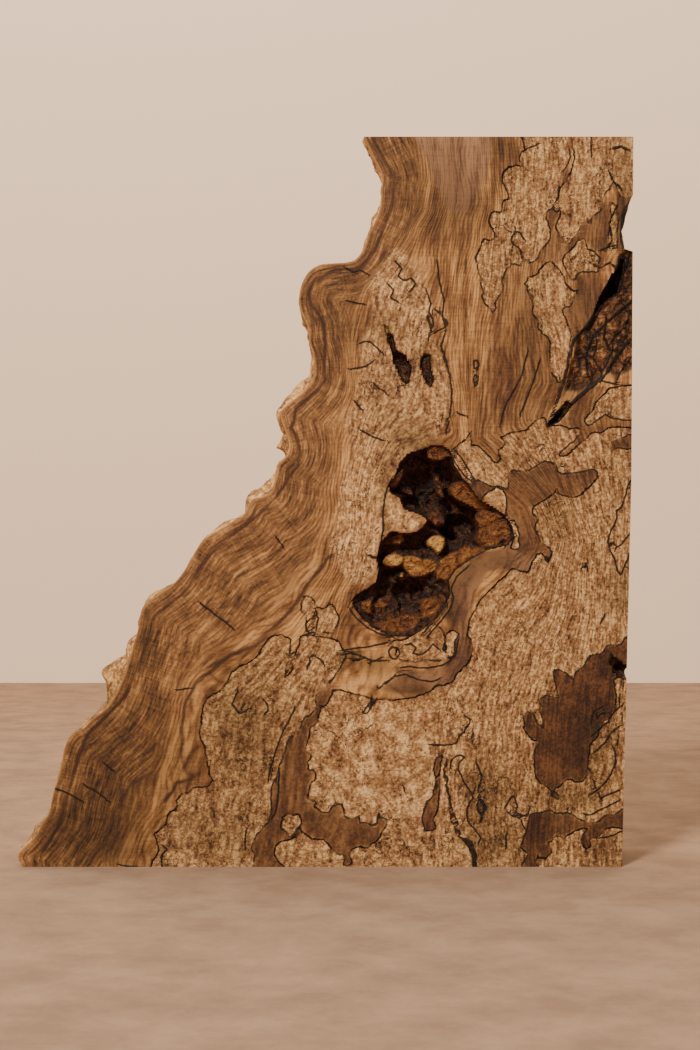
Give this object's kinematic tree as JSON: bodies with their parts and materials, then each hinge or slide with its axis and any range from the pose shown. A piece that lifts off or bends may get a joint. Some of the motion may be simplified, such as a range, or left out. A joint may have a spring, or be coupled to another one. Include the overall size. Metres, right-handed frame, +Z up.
{
  "type": "maple burl slab",
  "caption": "Free-standing slab of spalted maple burl with a natural edge down one side, a bark pocket in its face and sawn flat sides.",
  "frame": {"origin": "middle of the slab's box, on the sawn base that it stands on", "axes": "+Z up the slab's height, -Y out of the sawn front face, +X to the right as the front is seen"},
  "size_m": [0.3386, 0.056, 0.4],
  "materials": {
    "wood": "sawn and left unfinished, with spalting lines, torn grain and dark bark in the pocket"
  },
  "bodies": {
    "root": {"maple_burl": "wood"}
  },
  "joints": []
}
